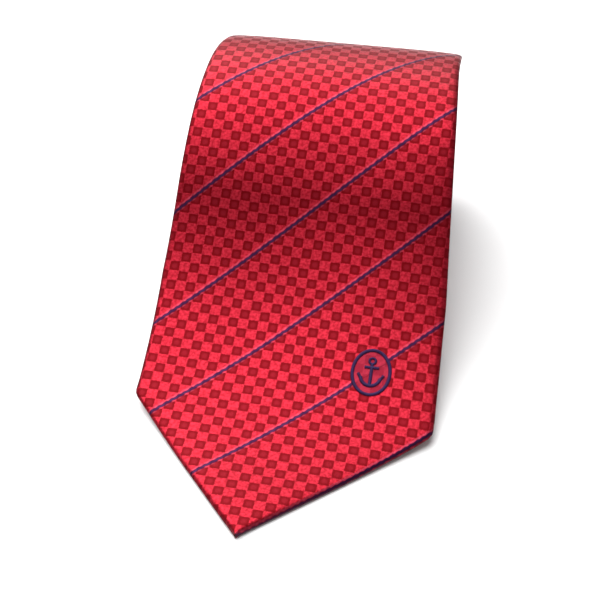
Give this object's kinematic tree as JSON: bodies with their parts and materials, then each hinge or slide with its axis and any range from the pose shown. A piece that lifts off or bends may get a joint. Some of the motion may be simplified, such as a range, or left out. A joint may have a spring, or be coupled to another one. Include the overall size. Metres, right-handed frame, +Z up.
{
  "type": "rolled necktie",
  "caption": "Rolled silk necktie: a wide pointed front blade over a wound roll of folded silk, interlining and lining.",
  "frame": {"origin": "on the table, under the middle of the part's box", "axes": "+Y from the front blade's point to the roll, +X across the tie, +Z up"},
  "size_m": [0.092, 0.1858, 0.0657],
  "materials": {
    "silk": "woven silk with small checks and slanted stripes",
    "tipping": "plain satin lining",
    "interlining": "brushed wool canvas",
    "thread": "sewing thread",
    "emblem_thread": "embroidery thread",
    "maker_label": "woven label, blank",
    "care_label": "printed tape, blank"
  },
  "bodies": {
    "roll": {"blade_silk_rolled": "silk", "front_join_seam": "thread", "neckband_silk": "silk", "tail_join_seam": "thread", "tail_silk_rolled": "silk", "interlining_rolled": "interlining", "slip_stitch_rolled": "thread", "keeper_loop": "silk", "blank_maker_label": "maker_label", "blank_care_label": "care_label", "tail_bar_tack": "thread", "tail_tipping_rolled": "tipping"},
    "front_blade": {"front_blade_silk": "silk", "front_blade_interlining": "interlining", "front_tipping": "tipping", "front_bar_tack": "thread", "front_slip_stitch": "thread", "emblem": "emblem_thread"},
    "tail_end": {"tail_end_silk": "silk", "tail_end_interlining": "interlining", "tail_end_tipping": "tipping"}
  },
  "joints": [
    {"name": "blade_lift", "type": "hinge", "parent": "roll", "child": "front_blade", "pos_m": [0, 0.05188, 0.06574], "axis": [-1, 0, 0], "range_deg": [0, 60]},
    {"name": "tail_flap", "type": "hinge", "parent": "roll", "child": "tail_end", "pos_m": [0, 0.06561, 0.02725], "axis": [-1, 0, 0], "range_deg": [0, 40]}
  ]
}
